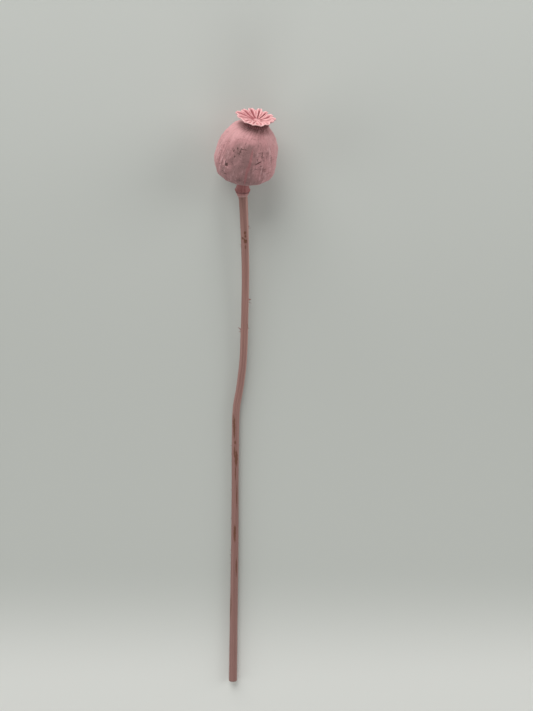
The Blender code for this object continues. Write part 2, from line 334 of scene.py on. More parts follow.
def cleft_angles():
    """The angles of the clefts, each midway between two rays, from before the first ray on."""
    angles = np.array([RAY_ANGLES[-1] - 360, *RAY_ANGLES, RAY_ANGLES[0] + 360])
    return np.radians((angles[:-1] + angles[1:]) / 2)


CLEFTS = cleft_angles()


def columns_on_rays(columns):
    """For each of the columns around: how far across its ray it is from -1 to 1, its angle."""
    share = np.arange(columns) / columns * RAYS
    ray = share.astype(int)
    within = share - ray
    angle = CLEFTS[ray] + within * (CLEFTS[ray + 1] - CLEFTS[ray])
    return 2 * within - 1, angle


def along_rim(values, angle):
    """The value at an angle round the rim, in straight lines between the rays' own values."""
    return np.interp(np.degrees(angle) % 360, RAY_ANGLES, values, period=360)


def belly_shift(height):
    """How far the capsule swells to one side of the line from its stipe to its neck."""
    return -BELLY_OFFSET * (1 - (2 * height / CAPSULE_HEIGHT - 1) ** BELLY_SPREAD)


def head_placement():
    """The matrix from the head's own frame to the row frame."""
    turn = (
        Matrix.Rotation(radians(-HEAD_LEAN), 4, "Z")
        @ Matrix.Rotation(radians(HEAD_PITCH), 4, "X")
        @ Matrix.Rotation(radians(-90), 4, "X")
    )
    belly = turn @ Vector((belly_shift(WIDEST_HEIGHT) * MM, 0, WIDEST_HEIGHT * MM))
    lift = Vector((0, 0, (CAPSULE_RADIUS - FLAT_CUT) * MM))
    return Matrix.Translation(lift - belly) @ turn


PLACEMENT = head_placement()


def from_head(x, y, z):
    """Places in the head's own frame, in millimetres, as row-frame points in metres."""
    points = np.stack(np.broadcast_arrays(x, y, z), axis=-1)
    matrix = np.array(PLACEMENT)
    return points * MM @ matrix[:3, :3].T + matrix[:3, 3]


# The capsule

# Chips and scratches, as (angle round the capsule in degrees, height, half length, half width,
# turn from upright in degrees, depth).
CHIPS = (
    (233, 15.8, 1.1, 0.85, 60, 0.4),
    (230.8, 17.2, 1.3, 0.32, -5, 0.25),
    (227.5, 13.0, 0.5, 0.3, 30, 0.15),
    (221, 12.0, 0.5, 0.3, 60, 0.15),
    (216.4, 13.4, 0.4, 0.3, 0, 0.15),
    (239.9, 26.1, 0.7, 0.3, 5, 0.15),
    (246.3, 28.2, 0.6, 0.35, 0, 0.15),
    (254.2, 27.0, 2.2, 0.28, 4, 0.2),
    (262, 29.0, 1.9, 0.18, 84, 0.15),
    (245.7, 23.0, 0.6, 0.35, 20, 0.15),
    (251, 25.6, 0.5, 0.25, 0, 0.12),
    (294.5, 22.2, 2.3, 0.34, 62, 0.25),
    (291, 24.0, 0.7, 0.22, 0, 0.1),
    (300.6, 27.0, 1.6, 0.3, 8, 0.1),
    (226.9, 10.4, 0.8, 0.22, 85, 0.12),
    (235, 9.6, 0.9, 0.22, 80, 0.12),
    (120, 20.0, 2.6, 0.3, 35, 0.2),
    (60, 27.0, 0.8, 0.5, 10, 0.3),
    (30, 14.0, 1.8, 0.25, -70, 0.2),
    (150, 12.0, 0.5, 0.4, 0, 0.25),
    (345, 21.0, 1.4, 0.25, 15, 0.15),
    (10, 24.5, 0.5, 0.35, 0, 0.2),
)

# In the same form: redder rubs, raised veins, whose last value is their height, and smudges.
RUBS = (
    (278, 22.5, 6.0, 0.65, 2, 0),
    (275.5, 12.0, 6.0, 0.6, -3, 0),
    (100, 16.0, 8.0, 0.6, 5, 0),
    (10, 14.0, 6.0, 0.5, -4, 0),
)
VEINS = (
    (206, 17.5, 6.5, 0.42, 6, 0.22),
    (219.5, 16.0, 6.5, 0.42, 6, 0.25),
    (303, 16.0, 7.0, 0.4, -3, 0.18),
    (322, 20.0, 8.0, 0.45, -2, 0.22),
    (340, 17.0, 8.0, 0.4, -2, 0.2),
    (80, 18.0, 9.0, 0.45, 3, 0.22),
    (133, 16.0, 8.0, 0.4, 0, 0.2),
)
SMUDGES = (
    (313, 26.8, 2.4, 1.1, 0, 0),
    (324, 23.0, 2.6, 0.8, -4, 0),
    (303, 24.5, 1.6, 0.8, -30, 0),
    (258.5, 27.0, 2.0, 0.24, 86, 0),
    (262.5, 25.6, 2.2, 0.24, 88, 0),
    (268, 27.6, 1.8, 0.24, 84, 0),
    (257, 24.0, 1.6, 0.24, 90, 0),
    (248, 26.0, 1.6, 0.5, 4, 0),
    (243, 20.0, 2.4, 0.5, -5, 0),
    (222, 16.0, 3.5, 0.5, 3, 0),
    (212.5, 17.0, 5.0, 0.45, 4, 0),
    (229, 9.6, 1.8, 0.4, 75, 0),
    (283, 17.0, 3.0, 0.5, -4, 0),
    (306, 16.0, 2.5, 0.6, 6, 0),
    (263, 9.0, 2.5, 0.8, 88, 0),
    (110, 24.0, 2.6, 0.7, 5, 0),
    (70, 18.0, 3.0, 0.6, -5, 0),
    (20, 22.0, 2.2, 0.8, 0, 0),
    (165, 22.0, 2.6, 0.6, 4, 0),
)

# How wide a mark is for its half length and half width, and how sharp its edge is.
MARK_SPREAD = 1.7
MARK_SHARPNESS = 1.5

# The fine lines along a rib, as (place across half its sector, width, height): one along its
# crest, one to each side of it, and a sunk seam between the ribs. They come and go round the
# capsule and are fainter on its smooth front, given as (angle, spread, share lost).
CREST_LINE = (0.0, 0.1, 0.22)
SIDE_LINE = (0.3, 0.08, 0.14)
SEAM_LINE = (1.0, 0.08, -0.16)
LEAST_LINES = 0.15
PATCH_EDGE = 0.35
LINES_START = (1.5, 7.0)
LINES_END = 9.0
SMOOTH_FRONT = (258.0, 0.32, 0.6)

# The relief of the dried wall in layers of noise, as (detail around, detail along, place in the
# noise, octaves, height). The wrinkles keep WRINKLES_LEFT of their height on the shoulder.
LINE_WANDER = (2.2, 0.09, 0.0, 1, 0.16)
LINE_PATCHES = (1.7, 0.07, 5.3, 1, 1.0)
WRINKLES = (13, 0.12, 2.7, 3, 0.14)
DENTS = (8.5, 0.42, 9.1, 2, 0.2)
WALL_GRAIN = (22, 1.15, 1.9, 2, 0.07)
WRINKLES_LEFT = 0.35
SHOULDER = (31, 22)

# The neck's flutes, which set in over the distances FLUTE_SPAN below its top.
FLUTES_TO_A_RIB = 3
FLUTE_WANDER = 0.25
FLUTE_HEIGHT = 0.12
FLUTE_SUNK = 0.08
FLUTE_SPAN = (5.5, 1.5)
DEEPEST_FLUTES = 290.0

# Where painted shade darkens the capsule's paint: round an angle in front, wider near the base, and
# at the back, all of it below a line that slants across the front.
PAINTED_SHADE_ANGLE = 264.0
PAINTED_SHADE_SPREAD = 66.0
PAINTED_SHADE_FLARE = 34.0
FLARE_HEIGHTS = (18, 4)
PAINTED_SHADE_BACK = 0.8
PAINTED_SHADE_BACK_SPREAD = 0.7
PAINTED_SHADE_TOP = (41, 27)
PAINTED_SHADE_SLANT = 4.6
PAINTED_SHADE_SLANT_REACH = 0.7
PAINTED_SHADE_STRENGTH = 0.93
PAINT_CLOUDS = (3.2, 0.16, 4.4, 3, 0.13)

# Painted shade under the crown and between the flutes, as (distances below the neck's top over
# which it darkens, least darkness, what is added where the flutes are deepest).
UNDER_CROWN_PAINTED_SHADE = ((3.0, 0.0), 0.27, 0.18)
FLUTE_PAINTED_SHADE = ((5.8, 1.0), 0.06, 0.16)


def marks_over(marks, angle, height, radius):
    """How strongly each point of the capsule lies in a mark, from 0 to 1, and how deep."""
    strength = np.zeros(np.broadcast(angle, height).shape)
    depth = np.zeros_like(strength)
    for at, up, half_length, half_width, turn, deep in marks:
        x = angle_from(angle, at) * radius
        y = height - up
        tilt = radians(turn)
        along = (x * sin(tilt) + y * cos(tilt)) / half_length
        aside = (x * cos(tilt) - y * sin(tilt)) / half_width
        near = np.exp(-(((along**2 + aside**2) / MARK_SPREAD) ** MARK_SHARPNESS))
        strength = np.maximum(strength, near)
        depth = np.maximum(depth, near * deep)
    return strength, depth


def rib_lines(across, angle, height, wander):
    """The relief of all the fine lines along the ribs."""
    off_crest = np.abs(across + wander)
    lines = raised_line(off_crest, CREST_LINE) + raised_line(off_crest, SIDE_LINE)
    lines = lines + raised_line(np.abs(across), SEAM_LINE)
    patchy = ramp(-PATCH_EDGE, PATCH_EDGE, noise_layer(angle, height, LINE_PATCHES))
    ends = ramp(*LINES_START, height) * ramp(0, LINES_END, CAPSULE_HEIGHT - height)
    lines = ends * (LEAST_LINES + (1 - LEAST_LINES) * patchy) * lines
    front, spread, lost = SMOOTH_FRONT
    return lines * (1 - lost * bump(angle - radians(front), spread))


def paint_and_painted_shade(angle, height):
    """How light the capsule's paint is, from 0 to 1: low where painted shade darkens it."""
    from_front = angle_from(angle, PAINTED_SHADE_ANGLE)
    spread = np.radians(PAINTED_SHADE_SPREAD + PAINTED_SHADE_FLARE * ramp(*FLARE_HEIGHTS, height))
    # The zone of painted shade on the front, the base and the back.
    painted_shade_zone = bump(from_front, spread)
    painted_shade_zone = painted_shade_zone + PAINTED_SHADE_BACK * bump(pi - np.abs(from_front), PAINTED_SHADE_BACK_SPREAD)
    slant = PAINTED_SHADE_SLANT * np.clip(from_front, -PAINTED_SHADE_SLANT_REACH, PAINTED_SHADE_SLANT_REACH)
    painted_shade_zone = painted_shade_zone * ramp(*PAINTED_SHADE_TOP, height - slant)
    return np.clip(1 - PAINTED_SHADE_STRENGTH * painted_shade_zone + noise_layer(angle, height, PAINT_CLOUDS), 0, 1)


def painted_shade_from(below_top, facing, neck_painted_shade):
    """How much one of the two kinds of painted shade darkens the paint."""
    span, least, added = neck_painted_shade
    return ramp(*span, below_top) * (least + added * facing)


def make_capsule():
    outline = evenly(spline_through(CAPSULE_OUTLINE, CAPSULE_SPAN_POINTS), CAPSULE_ROWS)
    outline[0, 1] += JOINT_GAP
    slope = np.gradient(outline, axis=0)
    slope /= np.linalg.norm(slope, axis=1)[:, None]
    out_r, out_z = -slope[:, 1:2], slope[:, 0:1]
    radius, height = outline[:, 0:1], outline[:, 1:2]
    below_top = CAPSULE_HEIGHT - height
    across, angle = columns_on_rays(CAPSULE_COLUMNS)
    across, angle = across[None, :], angle[None, :]

    # The form that the solid has too: the ribs and the lumps.
    rib = bump(across, RIB_WIDTH) - RIB_LEVEL
    ends = ramp(0, RIB_START_HEIGHT, height) * ramp(0, RIB_START_RADIUS, radius)
    around = place_on(angle, height / CAPSULE_RADIUS, 1, 1)
    lump = noise_over(around * LUMP_COUNT + np.array(LUMP_PLACE))
    belly = ramp(0, LUMP_START, height) * ramp(0, LUMP_END, below_top)
    form = ends * rib * np.interp(height, *zip(*RIB_HEIGHTS)) + belly * LUMP_HEIGHT * lump

    # The fine relief of the dried, painted wall.
    wander = noise_layer(angle, height, LINE_WANDER)
    low = ramp(*LINES_START, height)
    wrinkles = noise_layer(angle, height, WRINKLES)
    wrinkles *= WRINKLES_LEFT + (1 - WRINKLES_LEFT) * ramp(*SHOULDER, height)
    dents = noise_layer(angle, height, DENTS)
    grain = noise_layer(angle, height, WALL_GRAIN)
    flute = np.cos(FLUTES_TO_A_RIB * pi * (across + FLUTE_WANDER * wander))
    facing = np.maximum(0, np.cos(angle - radians(DEEPEST_FLUTES))) ** 2
    flutes = ramp(*FLUTE_SPAN, below_top) * (FLUTE_HEIGHT * flute - FLUTE_SUNK)
    flutes = flutes * (0.5 + 0.8 * facing)
    chip, chip_depth = marks_over(CHIPS, angle, height, radius)
    rub, _ = marks_over(RUBS, angle, height, radius)
    smudge, _ = marks_over(SMUDGES, angle, height, radius)
    _, veins = marks_over(VEINS, angle, height, radius)
    lines = rib_lines(across, angle, height, wander) + veins
    relief = lines + low * (wrinkles + dents) + grain + flutes - SKIN_INSET - chip_depth

    r = radius + form + relief * out_r
    z = height + relief * out_z
    x, y = r * np.cos(angle), r * np.sin(angle)
    near_base = ramp(0, BASE_HEIGHT, BASE_HEIGHT - height)
    z = z + x * tan(radians(BASE_SLOPE)) * near_base * ramp(*BASE_SPARED, r)
    x = x + belly_shift(np.clip(height, 0, CAPSULE_HEIGHT))
    rings = above_table(from_head(x, y, z))
    top = from_head(0, 0, CAPSULE_HEIGHT + JOINT_GAP)
    base = above_table(from_head(0, 0, 0.0))

    # The relief's height, which gives painted highlight on high places and painted shade in low
    # ones.
    rise = lines + 0.9 * wrinkles + 0.8 * dents + grain
    # Painted shade under the crown and between the neck's flutes.
    neck_painted_shade = painted_shade_from(below_top, facing, UNDER_CROWN_PAINTED_SHADE)
    neck_painted_shade = neck_painted_shade + painted_shade_from(below_top, facing, FLUTE_PAINTED_SHADE) * (0.5 - 0.5 * flute)
    traits = {
        # How light the paint is: low where painted shade darkens it.
        "paint_and_shade": paint_and_painted_shade(angle, height),
        "rise": np.clip(0.5 + 1.7 * rise, 0, 1),
        "chip": chip,
        "rub": rub,
        "smudge": smudge,
        "neck_painted_shade": neck_painted_shade,
        "grain": place_on(angle, height, 1.0, 1 / CAPSULE_RADIUS),
    }
    return skin("capsule_skin", rings, top, base, traits)


# The crown

# The relief of a ray, which fades over TIP_RELIEF: two lips beside a channel, all wider on the
# crown's sides, and a sunk line where it parts from the next ray.
LIP_PLACE, LIP_WIDTH, LIP_HEIGHT = 0.95, 0.38, 0.42
CHANNEL_WIDTH, CHANNEL_DEPTH = 0.4, 0.75
PARTING_WIDTH, PARTING_DEPTH = 0.28, 0.28
SIDE_WIDENING = 0.6
WIDE_START = (4.5, 8.0)
TIP_RELIEF = (CROWN_RADIUS - 2.4, CROWN_RADIUS - 0.6)

# The underside of a ray: a keel along its middle, a rise at the clefts that fades over RIM, and
# struts down to the joint.
KEEL_WIDTH, KEEL_DEPTH = 0.25, 0.3
KEEL_START = (NECK_RADIUS, NECK_RADIUS + 1.5)
UNDERSIDE_RISE = 0.35
UNDERSIDE_START = (NECK_RADIUS, NECK_RADIUS + 2.0)
RIM = (CROWN_RADIUS - 2.0, CROWN_RADIUS - 0.2)
STRUTS_TO_A_RAY = 3
STRUT_HEIGHT = 0.15
STRUT_SPAN = (3.0, 1.5)

# Layers of noise on the crown, as those of the capsule.
CROWN_UNEVEN = (7, 0.35, 0.0, 2, 1.0)
CROWN_GRAIN = (26, 2.2, 0.0, 2, 0.07)
EDGE_WAVE = (9, 0.0, 0.0, 1, 0.25)

# Where the crown's colour is paler or darker: painted highlight on its margin, the papillae round
# the middle, a dull side, and painted shade under the rim, which is less down the struts.
MARGIN = (CROWN_RADIUS - 1.2, CROWN_RADIUS - 0.4)
PAPILLAE_RADIUS = 3.2
PAPILLAE = 2.2
DULL_SIDE = 165.0
SHADE_EDGE = (CROWN_RADIUS, CROWN_RADIUS - 1.2)
STRUT_SHADE = (2.4, 0.6)


def crown_outline():
    """The crown's outline, from its middle over the rim to the joint, and which of its points
    are on the upper side."""
    top = spline_through(CROWN_TOP, CROWN_TOP_SPAN_POINTS)
    top = np.vstack([[(CROWN_INNER_RADIUS, CROWN_MIDDLE)], top])
    tip_height = CROWN_TOP[-1][1]
    edge = [(CROWN_RADIUS + out, tip_height - down * CROWN_THICKNESS) for out, down in CROWN_EDGE]
    under = spline_through([*edge, *CROWN_UNDERSIDE], CROWN_UNDER_SPAN_POINTS)
    is_top = np.concatenate([np.ones(CROWN_TOP_ROWS), np.zeros(CROWN_UNDER_ROWS)])[:, None]
    return np.vstack([evenly(top, CROWN_TOP_ROWS), evenly(under, CROWN_UNDER_ROWS)]), is_top


def make_crown():
    outline, is_top = crown_outline()
    radius, height = outline[:, 0:1], outline[:, 1:2]
    across, angle = columns_on_rays(CROWN_COLUMNS)
    across, angle = across[None, :], angle[None, :]
    length, lift = along_rim(RAY_LENGTHS, angle), along_rim(RAY_LIFTS, angle)

    def sideways(share):
        """A share of half a ray's sector as a distance round the crown."""
        return share * np.maximum(radius, 2) * pi / RAYS

    # The rays' relief on the upper side.
    outwards = ramp(PARTING_RADIUS, CROWN_RADIUS, radius)
    start = ramp(*RIDGE_START, radius)
    groove = 1 - RAY_GROOVE * bump(across, RAY_GROOVE_WIDTH)
    ridge = groove * np.maximum(0, 1 - across**2) ** RIDGE_ROUNDING
    uneven = noise_layer(angle, radius, CROWN_UNEVEN)
    frontwards = np.maximum(0, -np.sin(angle))
    wide = 1 + SIDE_WIDENING * np.abs(np.cos(angle)) * ramp(*WIDE_START, radius)
    aside = sideways(np.abs(across)) / wide
    between_rays = sideways(1 - np.abs(across))
    lips = bump(aside - LIP_PLACE, LIP_WIDTH) * (LIP_HEIGHT + 0.25 * uneven)
    channel = bump(aside, CHANNEL_WIDTH) * CHANNEL_DEPTH * (1 - 0.4 * frontwards)
    parting = bump(between_rays, PARTING_WIDTH) * PARTING_DEPTH
    fade_tip = 1 - 0.8 * ramp(*TIP_RELIEF, radius)
    relief = start * fade_tip * (lips - channel - parting) + noise_layer(angle, radius, CROWN_GRAIN)
    tall = is_top * (RAY_HEIGHT * ridge * start * (1 - TIP_FADE * outwards) + relief)

    # The underside, with the struts that run down to the joint.
    cleft = ramp(CLEFT_START, 1, np.abs(across))
    struts = np.cos(STRUTS_TO_A_RAY * pi * across)
    keel = bump(across, KEEL_WIDTH) * KEEL_DEPTH * ramp(*KEEL_START, radius)
    hollowed = UNDERSIDE_RISE * cleft * (1 - 0.9 * ramp(*RIM, radius))
    below = (1 - is_top) * (hollowed - keel) * ramp(*UNDERSIDE_START, radius)
    fluted = (1 - is_top) * ramp(*STRUT_SPAN, height) * STRUT_HEIGHT * struts

    # The disc's form: the rays' lengths, the clefts, the lifted rays and the tilt.
    off_deepest = angle - radians(DEEPEST_CLEFT)
    cleft_depth = CLEFT_DEPTH * (1 + CLEFT_VARIATION * np.cos(off_deepest))
    edge_wave = noise_layer(angle, radius, EDGE_WAVE)
    r = radius + outwards * (length - cleft_depth * cleft + edge_wave)
    r = r - outwards * CROWN_SHIFT * np.cos(angle) + fluted
    x, y = r * np.cos(angle), r * np.sin(angle)
    raised = outwards * (lift + CROWN_SADDLE * np.cos(2 * angle))
    raised = raised - x * tan(radians(CROWN_LEAN))
    raised = raised - y * tan(radians(CROWN_PITCH))
    z = height + tall + below + raised * ramp(*LIFT_START, height)
    z = z + CAPSULE_HEIGHT + JOINT_GAP
    rings = above_table(from_head(x, y, z))
    middle = from_head(0, 0, CAPSULE_HEIGHT + JOINT_GAP + CROWN_MIDDLE)
    joint = from_head(0, 0, CAPSULE_HEIGHT + JOINT_GAP)

    # Where the colour is darker or paler, with painted highlight and painted shade.
    dull_side = np.maximum(0, np.cos(angle - radians(DULL_SIDE)))
    # Painted shade in the rays' channels and partings, and a darker dull side.
    hollow_shade = start * (bump(aside, 0.45) + 0.35 * bump(between_rays, 0.35))
    hollow_shade = hollow_shade * fade_tip * (1 - 0.45 * frontwards) + 0.25 * dull_side * start
    # Painted highlight on the rays' lips and the margin, most at the front, with pale papillae and
    # noise.
    pale_and_highlight = is_top * start * bump(aside - 1.0, 0.5) * (1 - 0.5 * dull_side) + 0.4 * uneven
    papillae = ramp(0.0, 0.3, noise_layer(angle, radius, (PAPILLAE * radius, 0, 3.1, 1, 1)))
    pale_and_highlight = pale_and_highlight + bump(radius, PAPILLAE_RADIUS) * (0.45 + 0.5 * papillae)
    pale_and_highlight = pale_and_highlight + (0.4 + 0.5 * frontwards) * ramp(*MARGIN, radius)
    # Painted shade under the rim, less down the struts.
    rim_painted_shade = (1 - is_top) * ramp(*SHADE_EDGE, radius)
    rim_painted_shade = rim_painted_shade * (1 - 0.6 * ramp(*STRUT_SHADE, height) * (0.5 + 0.5 * struts))
    traits = {
        "hollow_shade": np.clip(is_top * hollow_shade, 0, 1),
        "pale_and_highlight": np.clip(pale_and_highlight, 0, 1),
        "rim_painted_shade": rim_painted_shade,
    }
    return skin("crown_rays", rings, middle, joint, traits)


# The stem with its receptacle


def axis_direction(pitch, lean):
    """The direction, up along the plant, of an axis with this pitch and lean in degrees."""
    pitch, lean = radians(pitch), radians(lean)
    level = cos(pitch)
    return Vector((level * sin(lean), level * cos(lean), sin(pitch)))


def knob_points():
    """The receptacle's middle line with its radius. It starts along the head's axis and bends
    evenly into the stem's own direction."""
    middle = PLACEMENT @ Vector((0, 0, -JOINT_GAP * MM)) / MM
    points = []
    last_share = 0
    for share, radius in KNOB_OUTLINE:
        pitch = HEAD_PITCH + (STEM_PITCH - HEAD_PITCH) * share
        lean = HEAD_LEAN + (STEM_LEAN - HEAD_LEAN) * share
        middle = middle - axis_direction(pitch, lean) * (share - last_share) * KNOB_LENGTH
        points.append((*middle, radius))
        last_share = share
    return points


def stem_line():
    """The whole stem's middle line with its radius, finely and evenly spaced."""
    knob = knob_points()
    x, y, _, _ = knob[-1]
    run = [
        (x + side, y - along, underside + radius, radius)
        for side, along, underside, radius in STEM_ROUTE
    ]
    curve = spline_through([*knob, *run], STEM_SPAN_POINTS)
    length = np.linalg.norm(np.diff(curve[:, :3], axis=0), axis=1).sum()
    return evenly(curve, int(length / STEM_STEP))


def frames_along(line):
    """For each point of a line, two directions square to it that don't twist along it."""
    tangents = np.gradient(line, axis=0)
    tangents /= np.linalg.norm(tangents, axis=1)[:, None]
    side = Vector(tangents[0]).orthogonal().normalized()
    sides = []
    for tangent in tangents:
        t = Vector(tangent)
        side = (side - t * side.dot(t)).normalized()
        sides.append(side[:])
    sides = np.array(sides)
    return sides, np.cross(tangents, sides)


# Scars on the stem, as (distance from its top, angle round it in degrees, half length, half
# width, depth). At 90 degrees a scar faces straight up.
STEM_MARKS = (
    (34.0, 86, 1.2, 0.75, 0.12),
    (36.3, 82, 0.9, 0.65, 0.1),
    (37.6, 126, 0.8, 0.8, 0.1),
    (38.4, 96, 0.6, 0.4, 0.1),
    (39.7, 80, 1.3, 1.35, 0.18),
    (43.4, 84, 1.4, 0.45, 0.1),
    (165.0, 114, 7.5, 0.85, 0.12),
    (160.0, 140, 5.0, 0.5, 0.1),
    (175.0, 96, 1.2, 0.7, 0.1),
    (186.0, 74, 5.5, 1.0, 0.14),
    (181.5, 108, 4.0, 0.5, 0.1),
    (196.0, 88, 5.0, 0.35, 0.1),
    (212.0, 62, 9.0, 0.35, 0.1),
    (238.0, 92, 6.0, 0.9, 0.14),
    (262.0, 60, 7.0, 0.5, 0.12),
    (96.0, 30, 2.0, 0.3, 0.1),
    (290.0, 140, 8.0, 0.5, 0.12),
    (120.0, 250, 3.0, 0.4, 0.1),
)

# The receptacle's crease and the rings under its rim, as (distance down, width, height).
CREASE = (0.655 * KNOB_LENGTH, 0.85, 0.12)
LOWER_RING = (0.9 * KNOB_LENGTH, 0.35, 0.22)
UPPER_RING = (0.78 * KNOB_LENGTH, 0.3, 0.1)
NECK_LINE = (1.01 * KNOB_LENGTH, 0.4, 0.12)

# Layers of noise on the stem, as those of the capsule. The furrows take over from the knobs
# over the distance STEM_START past the receptacle.
FURROWS = (3.0, 0.01, 3.3, 3, 0.16)
FINE_FURROWS = (7.5, 0.022, 8.8, 2, 0.05)
SWELLINGS = (0.0, 0.06, 6.1, 1, 0.1)
KNOBS = (4.0, 0.8, 7.7, 2, 0.12)
STEM_GRAIN = (14, 1.4, 5.5, 2, 0.02)
RAGGED_SCARS = (3, 0.9, 0.0, 1, 0.5)
STEM_START = 5.0

# The painted highlight on the stem's right flank: the span of how far a point faces right, and
# how much wider it is near the top, narrowing over the distances that follow.
FLANK_HIGHLIGHT_SPAN = (0.62, 0.98)
FLANK_HIGHLIGHT_WIDENING = 0.22
WIDE_HIGHLIGHT_END = (45, 25)

# The cut end: the sizes of the rings from its rim to its pith, as shares of the stem's radius,
# how deep it is dished, between which of these shares, and how rough it is.
CUT_RINGS = (0.95, 0.9, 0.8, 0.66, 0.5, 0.32, 0.15)
CUT_DISH = 0.35
DISH_SPAN = (0.8, 0.3)
CUT_ROUGHNESS = 0.06


def stem_scars(facing, along, angle, radius):
    """How strongly each point of the stem lies in a scar, from 0 to 1, and how deep."""
    ragged = 1 + noise_layer(angle, along, RAGGED_SCARS)
    scar = np.zeros(facing.shape)
    depth = np.zeros_like(scar)
    for at, turn, half_length, half_width, deep in STEM_MARKS:
        aside = angle_from(facing, turn) * radius
        near = bump(along - at, half_length) * bump(aside, half_width * ragged)
        scar = np.maximum(scar, near)
        depth = np.maximum(depth, near * deep)
    return scar, depth


def with_cut_end(rings, line, traits):
    """The stem's rings with those of its cut end, the middle of the cut, and the traits of all
    of them. The trait "cut" grows from the rim to the pith."""
    heart = rings[-1].mean(axis=0)
    back = line[-2, :3] - line[-1, :3]
    back /= np.linalg.norm(back)
    around = np.arange(STEM_COLUMNS) / STEM_COLUMNS * 2 * pi
    cut_rings = []
    for share in CUT_RINGS:
        dish = CUT_DISH * ramp(*DISH_SPAN, share)
        dish = dish + noise_layer(around, 0, (6 * share, 0, 9 * share, 1, CUT_ROUGHNESS))
        cut_rings.append(heart + (rings[-1] - heart) * share + back * dish[:, None])
    longer = {}
    for name, values in traits.items():
        more = np.repeat(values[-1:], len(CUT_RINGS), axis=0)
        if name == "cut":
            more = more + 1.2 - np.array(CUT_RINGS)[:, None]
        longer[name] = np.concatenate([values, more])
    return np.concatenate([rings, np.array(cut_rings)]), heart + back * CUT_DISH, longer


def make_stem():
    line = stem_line()
    sides, overs = frames_along(line[:, :3])
    angle = (np.arange(STEM_COLUMNS) / STEM_COLUMNS * 2 * pi)[None, :]
    along = (np.arange(len(line)) * STEM_STEP)[:, None]
    radius = line[:, 3:4]
    cosine, sine = np.cos(angle)[..., None], np.sin(angle)[..., None]
    outward = sides[:, None, :] * cosine + overs[:, None, :] * sine
    east, up = outward[..., 0], outward[..., 2]

    # The receptacle's form, which the solid has too, and its rings.
    rim = np.sin(pi * np.clip(along / KNOB_LENGTH, 0, 1)) ** 2
    scallop = radius * KNOB_SCALLOP_DEPTH * rim * np.cos(KNOB_SCALLOPS * angle)
    collar = raised_line(along, LOWER_RING) + raised_line(along, UPPER_RING)
    collar = collar - raised_line(along, CREASE) - raised_line(along, NECK_LINE)

    # The fine relief of the dried stem.
    on_stem = ramp(KNOB_LENGTH, KNOB_LENGTH + STEM_START, along)
    ridges = noise_layer(angle, along, FURROWS) + noise_layer(angle, along, FINE_FURROWS)
    swell = noise_layer(angle, along, SWELLINGS)
    knobbly = noise_layer(angle, along, KNOBS) * (1 - on_stem)
    grain = noise_layer(angle, along, STEM_GRAIN)
    scar, scar_depth = stem_scars(np.arctan2(up, east), along, angle, radius)
    relief = scallop + collar + on_stem * (ridges + swell) + knobbly + grain - scar_depth
    r = radius + relief * ramp(0, 0.6, along[-1, 0] - along)
    rings = line[:, None, :3] + outward * r[..., None]

    # The painted highlight on the right flank, wider near the top.
    near_top = ramp(*WIDE_HIGHLIGHT_END, along)
    near_top = near_top * ramp(0.8 * KNOB_LENGTH, 1.2 * KNOB_LENGTH, along)
    highlight_start, highlight_end = (edge - FLANK_HIGHLIGHT_WIDENING * near_top for edge in FLANK_HIGHLIGHT_SPAN)
    knob = 1 - ramp(0.62 * KNOB_LENGTH, KNOB_LENGTH, along)
    # Painted shade in the crease, and painted highlight on the rings under the rim.
    crease_shade = bump(along - CREASE[0], CREASE[1])
    ring_highlight = bump(along - LOWER_RING[0], 0.4) + 0.7 * bump(along - UPPER_RING[0], 0.35)
    traits = {
        # The relief's height, which gives painted highlight on ridges and painted shade in furrows.
        "ridge": np.clip(0.5 + 2.6 * (on_stem * ridges + collar + 0.8 * knobbly), 0, 1),
        "scar": scar,
        "knob": knob,
        "collar": ring_highlight,
        "crease_shade": crease_shade * (0.7 + 2.5 * knobbly),
        "along": along,
        # Painted highlight on the right flank.
        "flank_highlight": ramp(highlight_start, highlight_end, east),
        "cut": np.zeros_like(along),
        "grain": place_on(angle, along, 1.0, 0.02),
    }
    rings, last, traits = with_cut_end(rings, line, traits)

    # The top end runs on up to the capsule, a little into it.
    headwards = line[0, :3] - line[1, :3]
    headwards *= (JOINT_GAP + JOINT_OVERLAP) / np.linalg.norm(headwards)
    rings = np.concatenate([rings[:1] + headwards, rings])
    traits = {name: np.concatenate([values[:1], values]) for name, values in traits.items()}
    first = line[0, :3] + headwards
    return skin("stem_skin", above_table(rings * MM), first * MM, last * MM, traits)


# The bristles that the photograph shows, as (distance from the stem's top, angle round it in
# degrees, length, lean towards the head in degrees, half width at the root).
SEEN_BRISTLES = (
    (30.9, 2, 0.9, 20, 0.5),
    (31.8, 0, 2.0, -5, 0.12),
    (78.4, 4, 1.7, -12, 0.75),
    (80.2, -4, 2.8, -35, 0.18),
    (98.9, 178, 2.3, 30, 0.5),
    (100.1, 176, 1.5, -15, 0.32),
    (98.0, 2, 0.7, 0, 0.34),
)
MORE_BRISTLES = 34
BRISTLE_SEED = 23

# A bristle's form: its root is sunk in the stem, and its tip bends towards the head by a share
# of its length.
BRISTLE_RINGS = 7
BRISTLE_SIDES = 6
BRISTLE_ROOT = 0.35
BRISTLE_BEND = 0.25
BRISTLE_TAPER = 0.8
BRISTLE_TIP = 0.02


def bristle_list():
    """The bristles that the photograph shows, and more small ones on the stem's two sides."""
    draw = random.Random(BRISTLE_SEED)
    chosen = list(SEEN_BRISTLES)
    for _ in range(MORE_BRISTLES):
        at = draw.uniform(20, 300)
        turn = draw.choice((draw.uniform(-20, 60), draw.uniform(120, 200)))
        length, lean = draw.uniform(0.5, 1.5), draw.uniform(10, 60)
        chosen.append((at, turn, length, lean, draw.uniform(0.08, 0.16)))
    return chosen


